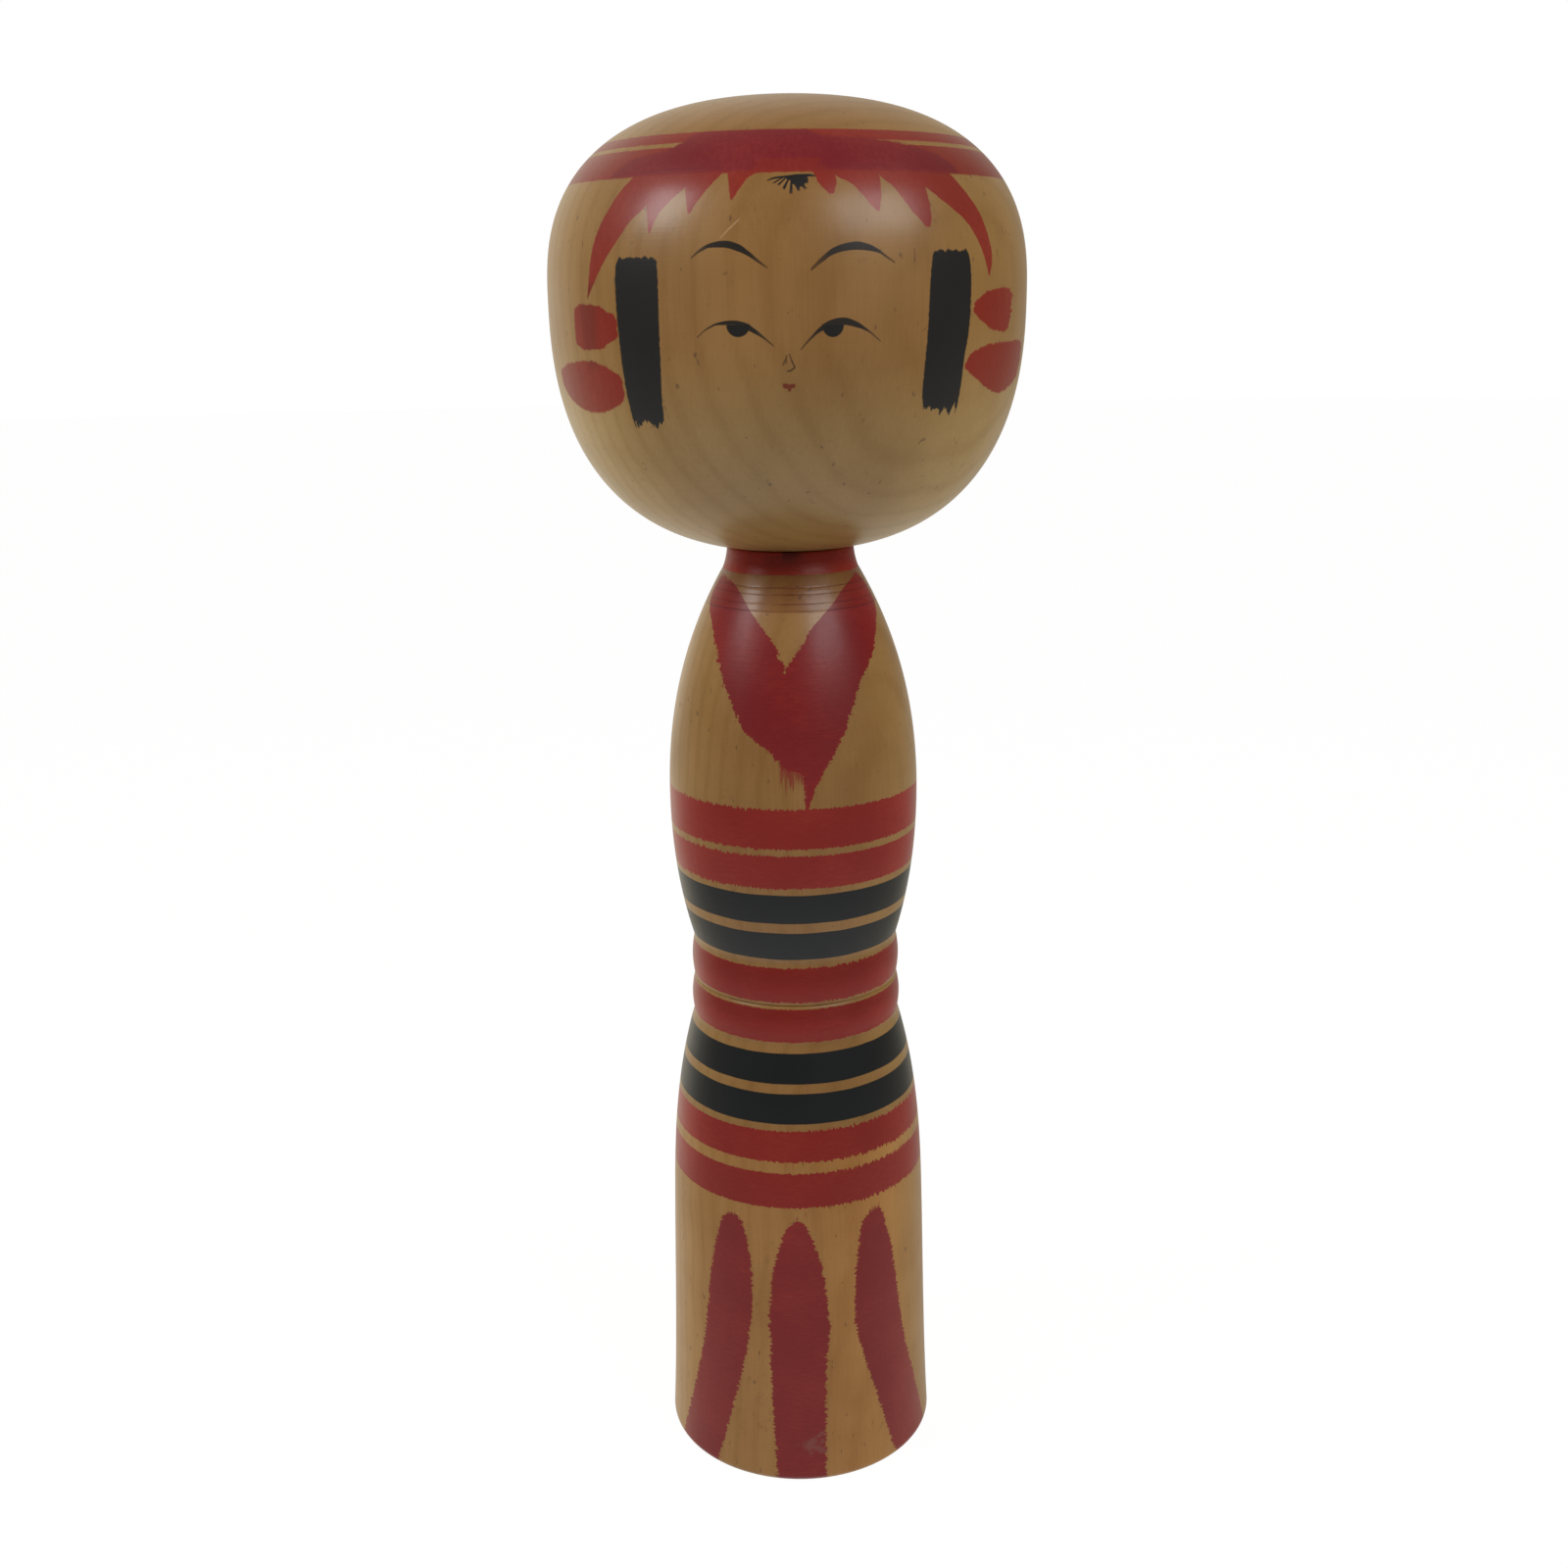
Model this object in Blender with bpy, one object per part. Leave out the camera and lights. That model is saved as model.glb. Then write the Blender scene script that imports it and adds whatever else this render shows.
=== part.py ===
"""Kokeshi doll: a turned wooden body and a turned wooden head that swivels on its own tenon.

Metres, +Z up. The origin is the centre of the flat base, and the face looks along -Y.
"""
import math

import bmesh
import bpy

# ---- Turning -------------------------------------------------------------
SEGMENTS = 64                 # facets around every turned piece
CHEEK_STEPS = 13              # rings from the seat to the head's widest place
CROWN_STEPS = 13              # rings from there to the crown

# ---- Body: heights above the base -----------------------------------------
BODY_HEIGHT = 0.2110          # base to the flat top of the neck
HIP_HEIGHT = 0.0620           # where the skirt starts to draw in
WAIST_FOOT = 0.1053           # lower edge of the lower waist roll
ROLL_HEIGHT = 0.0084          # lower waist roll
SASH_HEIGHT = 0.0092          # upper waist roll
WAIST_GROOVE = 0.0006         # cut between the two rolls
BUST_HEIGHT = 0.1570          # widest place of the chest
NECK_HEIGHT = 0.0046          # upright neck ring under the head

# ---- Body: radii ------------------------------------------------------------
BASE_RADIUS = 0.03105
HIP_RADIUS = 0.02920
WAIST_RADIUS = 0.02330        # at the foot of the lower roll
ROLL_BULGE = 0.00050          # how far each roll swells past its edges
SASH_RADIUS = 0.02285         # at the top of the upper roll
GROOVE_DEPTH = 0.00035        # groove between the rolls
BUST_RADIUS = 0.02743
NECK_FOOT_RADIUS = 0.01460
NECK_RADIUS = 0.01355         # at the top of the neck

# ---- Body: slopes of the outline (radius per height) ------------------------
BASE_SLOPE = -0.055
HIP_SLOPE = -0.030
WAIST_SLOPE = -0.300
CHEST_SLOPE = 0.300
SHOULDER_SLOPE = -0.580
NECK_FOOT_SLOPE = -0.450
NECK_SLOPE = -0.100

# ---- Small edges ------------------------------------------------------------
FOOT_ROUND = 0.0014           # rounding of the base edge
NECK_ROUND = 0.0003           # rounding of the neck's top edge
CHAMFER = 0.0008              # tenon end and bore mouth

# ---- Head -------------------------------------------------------------------
HEAD_RADIUS = 0.0490
HEAD_DROP = 0.0522            # widest place down to where the chin curve would close
HEAD_RISE = 0.0375            # widest place up to the crown
HEAD_FULLNESS = 2.5           # 2 is an ellipse, more is squarer
SEAT_MARGIN = 0.00065         # flat under the head, wider than the neck all round

# ---- Tenon and bore -----------------------------------------------------------
TENON_RADIUS = 0.0075
TENON_LENGTH = 0.0240
TURN_CLEARANCE = 0.0003       # around the tenon
SEAT_GAP = 0.0003             # between the neck's top and the head
BORE_SPARE = 0.0020           # bore deeper than the tenon is long
DRILL_POINT = math.radians(31.0)   # slope of the bore's coned bottom

# ---- Finish ---------------------------------------------------------------------
BODY_COLOUR = (0.235, 0.130, 0.052, 1.0)
HEAD_COLOUR = (0.215, 0.122, 0.048, 1.0)
WOOD_ROUGHNESS = 0.38


def hermite(start, end, start_slope, end_slope, steps):
    """Outline points (radius, height) of a smooth stretch, without its first point."""
    r0, z0 = start
    r1, z1 = end
    rise = z1 - z0
    points = []
    for step in range(1, steps + 1):
        t = step / steps
        radius = (r0 * (2 * t**3 - 3 * t**2 + 1) + r1 * (3 * t**2 - 2 * t**3)
                  + rise * start_slope * (t**3 - 2 * t**2 + t)
                  + rise * end_slope * (t**3 - t**2))
        points.append((radius, z0 + rise * t))
    return points


def corner(centre, radius, first, last, steps):
    """Outline points of a rounded edge from one angle to another, in degrees."""
    points = []
    for step in range(steps + 1):
        angle = math.radians(first + (last - first) * step / steps)
        points.append((centre[0] + radius * math.cos(angle), centre[1] + radius * math.sin(angle)))
    return points


def roll(foot, top, bulge, steps):
    """Outline points of a waist roll between two edges, without its first point."""
    points = []
    for step in range(1, steps + 1):
        t = step / steps
        radius = foot[0] + (top[0] - foot[0]) * t + bulge * math.sin(math.pi * t)
        points.append((radius, foot[1] + (top[1] - foot[1]) * t))
    return points


def body_outline():
    """Outline of the body from the middle of the base to the bottom of the neck bore."""
    bore_radius = TENON_RADIUS + TURN_CLEARANCE
    bore_depth = TENON_LENGTH + BORE_SPARE
    roll_top = WAIST_FOOT + ROLL_HEIGHT
    sash_foot = roll_top + WAIST_GROOVE
    sash_top = sash_foot + SASH_HEIGHT
    groove_radius = (WAIST_RADIUS + SASH_RADIUS) / 2
    neck_foot = BODY_HEIGHT - NECK_HEIGHT

    outline = [(0.0, 0.0)]
    outline += corner((BASE_RADIUS - FOOT_ROUND, FOOT_ROUND), FOOT_ROUND, -90, 0, 4)
    outline += hermite(outline[-1], (HIP_RADIUS, HIP_HEIGHT), BASE_SLOPE, HIP_SLOPE, 4)
    outline += hermite(outline[-1], (WAIST_RADIUS, WAIST_FOOT), HIP_SLOPE, WAIST_SLOPE, 8)
    outline += roll(outline[-1], (groove_radius, roll_top), ROLL_BULGE, 4)
    outline.append((groove_radius - GROOVE_DEPTH, roll_top + WAIST_GROOVE / 2))
    outline.append((groove_radius, sash_foot))
    outline += roll(outline[-1], (SASH_RADIUS, sash_top), ROLL_BULGE, 4)
    outline += hermite(outline[-1], (BUST_RADIUS, BUST_HEIGHT), CHEST_SLOPE, 0.0, 7)
    outline += hermite(outline[-1], (NECK_FOOT_RADIUS, neck_foot), 0.0, SHOULDER_SLOPE, 10)
    outline += hermite(outline[-1], (NECK_RADIUS, BODY_HEIGHT - NECK_ROUND), NECK_FOOT_SLOPE, NECK_SLOPE, 3)
    outline += corner((NECK_RADIUS - NECK_ROUND, BODY_HEIGHT - NECK_ROUND), NECK_ROUND, 30, 90, 2)
    outline.append((bore_radius + CHAMFER, BODY_HEIGHT))
    outline.append((bore_radius, BODY_HEIGHT - CHAMFER))
    outline.append((bore_radius, BODY_HEIGHT - bore_depth))
    outline.append((0.0, BODY_HEIGHT - bore_depth - bore_radius * math.tan(DRILL_POINT)))
    return outline


def head_point(angle, depth):
    """Radius and distance from the widest place on the head's curve, 0 there and 90 degrees on the axis."""
    power = 2.0 / HEAD_FULLNESS
    return HEAD_RADIUS * math.cos(angle) ** power, depth * math.sin(angle) ** power


def head_outline():
    """Outline of the head from the tip of the tenon round the cheek to the crown."""
    seat = BODY_HEIGHT + SEAT_GAP
    seat_radius = NECK_RADIUS + SEAT_MARGIN
    seat_angle = math.acos((seat_radius / HEAD_RADIUS) ** (HEAD_FULLNESS / 2.0))
    widest = seat + head_point(seat_angle, HEAD_DROP)[1]
    tenon_end = seat - TENON_LENGTH

    outline = [(0.0, tenon_end)]
    outline.append((TENON_RADIUS - CHAMFER, tenon_end))
    outline.append((TENON_RADIUS, tenon_end + CHAMFER))
    outline.append((TENON_RADIUS, seat))
    for step in range(CHEEK_STEPS + 1):
        radius, below = head_point(seat_angle * (1 - step / CHEEK_STEPS), HEAD_DROP)
        outline.append((radius, widest - below))
    for step in range(1, CROWN_STEPS):
        radius, above = head_point(math.pi / 2 * step / CROWN_STEPS, HEAD_RISE)
        outline.append((radius, widest + above))
    outline.append((0.0, widest + HEAD_RISE))
    return outline


def wood(name, colour):
    material = bpy.data.materials.new(name)
    material.use_nodes = True
    shader = material.node_tree.nodes["Principled BSDF"]
    shader.inputs["Base Color"].default_value = colour
    shader.inputs["Roughness"].default_value = WOOD_ROUGHNESS
    shader.inputs["Metallic"].default_value = 0.0
    material.diffuse_color = colour
    return material


def turned(name, outline, pivot_height, material):
    """A solid turned round the Z axis. Its outline starts and ends on the axis."""
    mesh = bpy.data.meshes.new(name)
    work = bmesh.new()
    rings = []
    for radius, height in outline:
        z = height - pivot_height
        if radius == 0.0:
            rings.append([work.verts.new((0.0, 0.0, z))])
            continue
        ring = []
        for index in range(SEGMENTS):
            angle = 2 * math.pi * index / SEGMENTS
            ring.append(work.verts.new((radius * math.cos(angle), radius * math.sin(angle), z)))
        rings.append(ring)
    for lower, upper in zip(rings, rings[1:]):
        for index in range(SEGMENTS):
            after = (index + 1) % SEGMENTS
            if len(lower) == 1:
                work.faces.new((lower[0], upper[after], upper[index]))
            elif len(upper) == 1:
                work.faces.new((lower[index], lower[after], upper[0]))
            else:
                work.faces.new((lower[index], lower[after], upper[after], upper[index]))
    bmesh.ops.recalc_face_normals(work, faces=work.faces)
    work.to_mesh(mesh)
    work.free()
    mesh.materials.append(material)
    mesh.set_sharp_from_angle(angle=math.radians(35))
    piece = bpy.data.objects.new(name, mesh)
    piece.location = (0.0, 0.0, pivot_height)
    bpy.context.scene.collection.objects.link(piece)
    return piece


def main():
    for old in list(bpy.data.objects):
        bpy.data.objects.remove(old, do_unlink=True)
    turned("body", body_outline(), 0.0, wood("body_wood", BODY_COLOUR))
    # The head's origin is on its turning axis, level with the top of the neck.
    turned("head", head_outline(), BODY_HEIGHT, wood("head_wood", HEAD_COLOUR))


main()
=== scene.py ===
"""Kokeshi doll, the finished look: two turned wooden pieces, their painting and a small studio.

Metres, +Z up, the face looks along -Y. The packed model is loaded first and gives the outer sizes.
"""
import functools
import math

import bmesh
import bpy
from bpy.props import FloatProperty, FloatVectorProperty, IntProperty, PointerProperty
from mathutils import Matrix, Vector


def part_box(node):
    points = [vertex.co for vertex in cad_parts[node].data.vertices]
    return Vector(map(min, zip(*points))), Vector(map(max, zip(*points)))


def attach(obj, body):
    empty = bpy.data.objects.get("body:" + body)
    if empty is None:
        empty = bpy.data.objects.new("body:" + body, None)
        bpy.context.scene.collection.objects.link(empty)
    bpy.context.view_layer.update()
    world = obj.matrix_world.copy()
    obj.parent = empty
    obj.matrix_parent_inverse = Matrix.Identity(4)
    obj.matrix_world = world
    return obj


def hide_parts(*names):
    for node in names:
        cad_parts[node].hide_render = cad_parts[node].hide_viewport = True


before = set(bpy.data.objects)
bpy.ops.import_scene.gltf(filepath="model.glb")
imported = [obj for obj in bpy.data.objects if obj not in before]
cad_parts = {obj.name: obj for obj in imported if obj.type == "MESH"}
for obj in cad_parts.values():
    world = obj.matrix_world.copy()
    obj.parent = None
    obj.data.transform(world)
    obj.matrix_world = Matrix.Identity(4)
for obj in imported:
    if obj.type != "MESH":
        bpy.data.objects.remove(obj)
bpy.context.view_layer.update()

bl_info = {
    "name": "Kokeshi Doll",
    "version": (1, 0, 0),
    "blender": (4, 5, 0),
    "location": "3D View > Sidebar > Kokeshi",
    "description": "Turns, paints and lights a two-piece wooden kokeshi doll",
    "category": "Add Mesh",
}

BODY_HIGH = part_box("body")[1]
HEAD_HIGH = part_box("head")[1]
MM = 0.001


# ---- Sizes and colours ----------------------------------------------------------


def length(name, description, default):
    texts = {"name": name, "description": description}
    return FloatProperty(**texts, default=default, unit="LENGTH", precision=5)


def number(name, description, default):
    return FloatProperty(name=name, description=description, default=default, precision=3)


def colour(name, description, default):
    texts = {"name": name, "description": description}
    return FloatVectorProperty(**texts, default=default, size=3, subtype="COLOR")


class KokeshiBodySizes(bpy.types.PropertyGroup):
    """Outline of the body, from the base up"""
    base_radius: length("Base radius", "Radius of the base", BODY_HIGH[0])
    foot_round: length("Foot rounding", "Rounding of the base edge", 0.0014)
    hip_height: length("Hip height", "Where the skirt starts to draw in", 0.0620)
    hip_radius: length("Hip radius", "Radius at the hip", 0.0292)
    waist_foot: length("Waist foot", "Lower edge of the lower waist roll", 0.1053)
    waist_radius: length("Waist radius", "Radius at the foot of the lower roll", 0.0233)
    roll_height: length("Lower roll", "Height of the lower waist roll", 0.0084)
    groove_width: length("Groove width", "Width of the cut between the rolls", 0.0006)
    groove_depth: length("Groove depth", "Depth of the cut between the rolls", 0.00035)
    sash_height: length("Upper roll", "Height of the upper waist roll", 0.0092)
    sash_radius: length("Sash radius", "Radius at the top of the upper roll", 0.02285)
    roll_bulge: length("Roll bulge", "How far each roll swells", 0.0005)
    bust_height: length("Chest height", "Widest place of the chest", 0.1570)
    bust_radius: length("Chest radius", "Radius of the chest", 0.02743)
    neck_height: length("Neck height", "Upright ring under the head", 0.0046)
    neck_foot_radius: length("Neck foot radius", "Radius at the foot of the neck", 0.0146)
    neck_radius: length("Neck radius", "Radius at the top of the neck", 0.01355)
    height: length("Body height", "Base to the top of the neck", BODY_HIGH[2])
    bore_radius: length("Bore radius", "Radius of the neck bore", 0.0078)
    bore_depth: length("Bore depth", "Depth of the neck bore", 0.026)


class KokeshiHeadSizes(bpy.types.PropertyGroup):
    """Outline of the head and its tenon"""
    radius: length("Head radius", "Radius at the widest place", HEAD_HIGH[0])
    drop: length("Chin drop", "Widest place down to where the chin curve closes", 0.0522)
    rise: length("Crown rise", "Widest place up to the crown", 0.0375)
    fullness: number("Fullness", "2 is an ellipse, more is squarer", 2.5)
    seat_radius: length("Seat radius", "Flat under the head", 0.0142)
    seat_gap: length("Seat gap", "Between the neck and the head", 0.0003)
    tenon_radius: length("Tenon radius", "Radius of the tenon", 0.0075)
    tenon_length: length("Tenon length", "Length of the tenon", 0.024)


class KokeshiFinish(bpy.types.PropertyGroup):
    """Wood, dye, ink and wax"""
    wood_light: colour("Pale wood", "Bare wood where it is palest", (0.475, 0.240, 0.073))
    wood_dark: colour("Honeyed wood", "Bare wood where the wax has aged", (0.345, 0.155, 0.034))
    stain: colour("Age stain", "Brown specks and handling marks", (0.10, 0.050, 0.020))
    red: colour("Red dye", "Red dye of the rings", (0.320, 0.0085, 0.0050))
    red_thin: colour("Thin red dye", "Red dye where the brush ran dry", (0.420, 0.030, 0.018))
    wine: colour("Deep red dye", "Red dye laid on by a full brush", (0.285, 0.0085, 0.0125))
    ink: colour("Black ink", "Black ink of the hair and the rings", (0.0022, 0.0051, 0.0060))
    gloss: number("Wax gloss", "Weight of the wax coat", 0.45)
    segments: IntProperty(name="Facets", description="Facets round each turned piece", default=256)


# ---- Shader maths -----------------------------------------------------------------

OBJECT_OUTPUT = 3    # the piece's own coordinates among the outputs of Texture Coordinate
COLOUR_RESULT = 2    # the colour among the outputs of Mix


class Value:
    """One output of a node. Arithmetic on a number adds Math nodes."""

    def __init__(self, nodes, socket):
        self.nodes = nodes
        self.socket = socket

    def __add__(self, other):
        return self.nodes.maths("ADD", self, other)

    def __radd__(self, other):
        return self.nodes.maths("ADD", other, self)

    def __sub__(self, other):
        return self.nodes.maths("SUBTRACT", self, other)

    def __rsub__(self, other):
        return self.nodes.maths("SUBTRACT", other, self)

    def __mul__(self, other):
        return self.nodes.maths("MULTIPLY", self, other)

    def __rmul__(self, other):
        return self.nodes.maths("MULTIPLY", other, self)

    def __truediv__(self, other):
        return self.nodes.maths("DIVIDE", self, other)

    def __pow__(self, other):
        return self.nodes.maths("POWER", self, other)


class Nodes:
    """The node tree of a material or a world, and the few ways nodes are added to it."""

    def __init__(self, owner, shader="Principled BSDF"):
        owner.use_nodes = True
        self.tree = owner.node_tree
        self.shader = self.tree.nodes[shader]

    def add(self, kind, settings=None, inputs=None, output=0):
        node = self.tree.nodes.new(kind)
        for name, setting in (settings or {}).items():
            if name == "curve":
                self.shape_curve(node, setting)
            else:
                setattr(node, name, setting)
        for name, given in (inputs or {}).items():
            self.feed(node.inputs[name], given)
        return Value(self, node.outputs[output])

    def feed(self, socket, given):
        if isinstance(given, Value):
            self.tree.links.new(given.socket, socket)
        elif socket.type == "RGBA":
            socket.default_value = (*given, 1.0)
        else:
            socket.default_value = given

    @staticmethod
    def shape_curve(node, places):
        mapping = node.mapping
        mapping.use_clip = False
        mapping.extend = "HORIZONTAL"
        points = mapping.curves[0].points
        points[0].location = places[0]
        points[1].location = places[-1]
        for place in places[1:-1]:
            points.new(place[0], place[1])
        for point in points:
            point.handle_type = "AUTO_CLAMPED"
        mapping.update()

    def maths(self, operation, first, second=0.0):
        return self.add("ShaderNodeMath", {"operation": operation}, {0: first, 1: second})

    def least(self, first, second):
        return self.maths("MINIMUM", first, second)

    def most(self, first, second):
        return self.maths("MAXIMUM", first, second)

    def strongest(self, covers):
        return functools.reduce(self.most, covers)

    def size(self, value):
        return self.maths("ABSOLUTE", value)

    def rise(self, value, low, high):
        """0 below low, 1 above high, smooth between."""
        settings = {"interpolation_type": "SMOOTHSTEP"}
        return self.add("ShaderNodeMapRange", settings, {0: value, 1: low, 2: high, 3: 0.0, 4: 1.0})

    def vector(self, x, y, z):
        return self.add("ShaderNodeCombineXYZ", None, {0: x, 1: y, 2: z})

    def split(self, vector):
        first = self.add("ShaderNodeSeparateXYZ", None, {0: vector})
        return tuple(Value(self, output) for output in first.socket.node.outputs)

    def noise(self, where, scale, detail=2.0, roughness=0.5):
        inputs = {"Vector": where, "Scale": scale, "Detail": detail, "Roughness": roughness}
        return self.add("ShaderNodeTexNoise", None, inputs)

    def mix(self, share, first, second):
        """Colour between first and second."""
        return self.blend("MIX", share, first, second)

    def tint(self, share, first, second):
        """First colour multiplied by the second."""
        return self.blend("MULTIPLY", share, first, second)

    def blend(self, kind, share, first, second):
        settings = {"data_type": "RGBA", "blend_type": kind}
        return self.add("ShaderNodeMix", settings, {0: share, 6: first, 7: second}, COLOUR_RESULT)

    def curve(self, along, places):
        """A smooth line through a few (along, value) places."""
        low = min(place[1] for place in places)
        high = max(place[1] for place in places)
        start = places[0][0]
        span = places[-1][0] - start
        share = (along - start) / span
        points = [((place[0] - start) / span, (place[1] - low) / (high - low)) for place in places]
        line = self.add("ShaderNodeFloatCurve", {"curve": points}, {"Factor": 1.0, "Value": share})
        return line * (high - low) + low

    def patch(self, along, across, places, soft, rough=0.0, dry=0.0, corner=0.0):
        """Brushwork between two edges, through (along, low edge, high edge) places.

        rough frays its sides, dry frays its ends and corner rounds its corners.
        """
        first = places[0][0]
        last = places[-1][0]
        way = 1.0 if last > first else -1.0
        low = self.curve(along, [(place[0], place[1]) for place in places])
        high = self.curve(along, [(place[0], place[2]) for place in places])
        side = self.least(across - low, high - across) + rough
        run = self.least((along - first) * way, (last - along) * way) + dry
        if corner == 0.0:
            return self.rise(self.least(side, run), -soft, soft)
        off_side = self.most(corner - side, 0.0)
        off_run = self.most(corner - run, 0.0)
        inside = corner - (off_side * off_side + off_run * off_run) ** 0.5
        return self.rise(inside, -soft, soft)

    def ring(self, height, foot, top, soft, rough=0.0):
        """A painted ring between two heights."""
        inside = self.least(height - foot, top - height) + rough
        return self.rise(inside, -soft, soft)


class Place:
    """Where a point of the surface lies, in millimetres and degrees."""

    def __init__(self, nodes):
        metres = nodes.add("ShaderNodeTexCoord", output=OBJECT_OUTPUT)
        scale = {"operation": "SCALE"}
        self.nodes = nodes
        self.vector = nodes.add("ShaderNodeVectorMath", scale, {0: metres, 3: 1.0 / MM})
        self.x, self.y, self.z = nodes.split(self.vector)
        self.reach = (self.x * self.x + self.y * self.y) ** 0.5
        self.turn = nodes.maths("ARCTAN2", self.x, self.y * -1.0) * math.degrees(1.0)
        self.side = self.x / self.reach    # -1 at the far left, 1 at the far right

    def grain(self, across, along, detail=2.0, roughness=0.5):
        """Noise that is drawn out along the axis, or round it."""
        where = self.nodes.vector(self.x * across, self.y * across, self.z * along)
        return self.nodes.noise(where, 1.0, detail, roughness)


# ---- Wood, dye and ink ------------------------------------------------------------------

# Tints multiply a colour. Painted light: the wood is tinted darker in front and lighter at the sides, as
# if lit from the sides.
FRONT_SHADE_TINT = (0.90, 0.92, 0.94)
SIDE_LIGHT_TINT = (1.12, 1.24, 1.24)
# Colour of the ink where it is greyest.
GREY_INK = (0.0062, 0.0112, 0.0128)


def bare_wood(nodes, place, finish, pith, ring_width):
    """Colour of the waxed wood and the height of its grain.

    pith is where the middle of the tree lies and ring_width is one year's growth, in millimetres.
    """
    wander = nodes.noise(place.vector, 0.022, 3.0)
    across = place.x - pith[0]
    deep = place.y - pith[1]
    from_pith = (across * across + deep * deep) ** 0.5 + wander * 9.0
    season = nodes.maths("SINE", from_pith * (2.0 * math.pi / ring_width)) * 0.5 + 0.5
    late = season ** 3.0
    broad = place.grain(0.055, 0.012, 3.0)
    fibre = place.grain(1.9, 0.05, 3.0, 0.6)
    pores = place.grain(5.0, 0.35)
    patina = nodes.noise(place.vector, 0.045, 4.0, 0.55)
    tool = nodes.noise(nodes.vector(place.reach * 0.02, 0.0, place.z * 2.4), 1.0, 2.0)

    dark = late * 0.22 + (broad - 0.5) * 1.1 + (fibre - 0.5) * 0.55 + (patina - 0.5) * 1.2 + 0.42
    dark = dark + (tool - 0.5) * 0.14
    tone = nodes.mix(nodes.rise(dark, -0.15, 1.15), finish.wood_light, finish.wood_dark)
    fleck = nodes.rise(pores, 0.64, 0.80) * 0.22
    tone = nodes.mix(fleck, tone, finish.stain)
    ticks = place.grain(0.8, 0.42, 1.0)
    tone = nodes.mix(nodes.rise(ticks, 0.70, 0.80) * 0.55, tone, finish.stain)
    spots = nodes.noise(place.vector, 0.33, 3.0, 0.6)
    tone = nodes.mix(nodes.rise(spots, 0.66, 0.80) * 0.30, tone, finish.stain)
    # Painted light: darker wood in front, lighter wood round the sides.
    off_axis = nodes.rise(place.reach, 0.0, 14.0)
    side_light = (nodes.rise(nodes.size(place.turn), 18.0, 66.0) - 0.6) * off_axis + 0.6
    tone = nodes.tint(1.0, tone, nodes.mix(side_light, FRONT_SHADE_TINT, SIDE_LIGHT_TINT))
    height = fibre * 0.45 + pores * 0.25 + tool * 0.5 - late * 0.15
    return tone, height


def red_dye(nodes, place, finish, full, streak):
    """Colour of the red dye: plain where full is 0, deep where it is 1, with thin streaks."""
    cloud = nodes.noise(place.vector, 0.07, 2.0, 0.5)
    thin = nodes.rise(streak * 0.55 + cloud * 0.6, 0.46, 0.86) * 0.6
    tone = nodes.mix(full, finish.red, finish.wine)
    return nodes.mix(thin, tone, finish.red_thin)


def black_ink(nodes, place, finish):
    """Colour of the black ink, greyer in places."""
    return nodes.mix(nodes.noise(place.vector, 0.25, 3.0) * 0.5, finish.ink, GREY_INK)


def finish_surface(nodes, place, tone, height, black, smear_scale, gloss):
    """Feeds the shader of one turned piece. black covers its inked parts, gloss is its wax."""
    smear = nodes.noise(place.vector, smear_scale, 3.0)
    shader = nodes.shader.inputs
    nodes.feed(shader["Base Color"], tone)
    nodes.feed(shader["Roughness"], 0.42 + (smear - 0.5) * 0.22 + black * 0.04)
    shader["Specular IOR Level"].default_value = 0.35
    nodes.feed(shader["Coat Weight"], gloss)
    shader["Coat Roughness"].default_value = 0.24
    shader["Coat IOR"].default_value = 1.45
    relief = {"Strength": 0.22, "Distance": 0.0002, "Height": height}
    nodes.feed(shader["Normal"], nodes.add("ShaderNodeBump", None, relief))


# ---- Painting on the body ----------------------------------------------------------------

# Rings as (foot, top, fraying on the left, fraying on the right). Heights are in mm above the base.
RED_RINGS = (
    (150.9, 159.6, 4.5, 2.6),
    (142.0, 149.4, 4.5, 1.6),
    (114.9, 122.8, 1.4, 3.4),
    (105.7, 113.3, 1.2, 1.8),
    (79.4, 86.5, 1.2, 5.5),
    (68.7, 76.8, 1.4, 5.0),
)
BLACK_RINGS = ((133.8, 140.5), (124.9, 131.5), (96.8, 103.3), (88.0, 94.7))
NECK_RING_FOOT = 206.4
SCRIBED_LINES = (204.0, 202.65, 200.8, 199.4)

# Collar flaps as (height, left edge, right edge). Edges are in degrees round from the middle of
# the front.
LEFT_FLAP = (
    (205.7, -73, -70),
    (204.3, -76, -49.5),
    (202.4, -76.5, -38.5),
    (199.2, -70, -27.2),
    (196.1, -57.8, -17.8),
    (193.1, -50.6, -10.2),
    (190.3, -45.1, -6.2),
    (187.5, -41.3, -3.6),
    (181.2, -31.3, 0),
    (174.8, -21.2, 2),
    (172.0, -12, 3),
    (168.4, -4.7, 4),
)
RIGHT_FLAP = (
    (205.7, 64, 68),
    (203.0, 40, 75.5),
    (200.3, 27.8, 76),
    (197.9, 17.9, 72),
    (195.6, 10.7, 63.8),
    (192.3, 4.3, 55.5),
    (189.8, -0.6, 49.3),
    (187.3, -4, 42.7),
    (184.2, -5, 35.3),
    (178.4, -5, 28.2),
    (168.8, -5, 16),
    (166.8, 3.6, 12.8),
    (163.2, 4.8, 8.9),
    (159.2, 4.8, 6.2),
)

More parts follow.
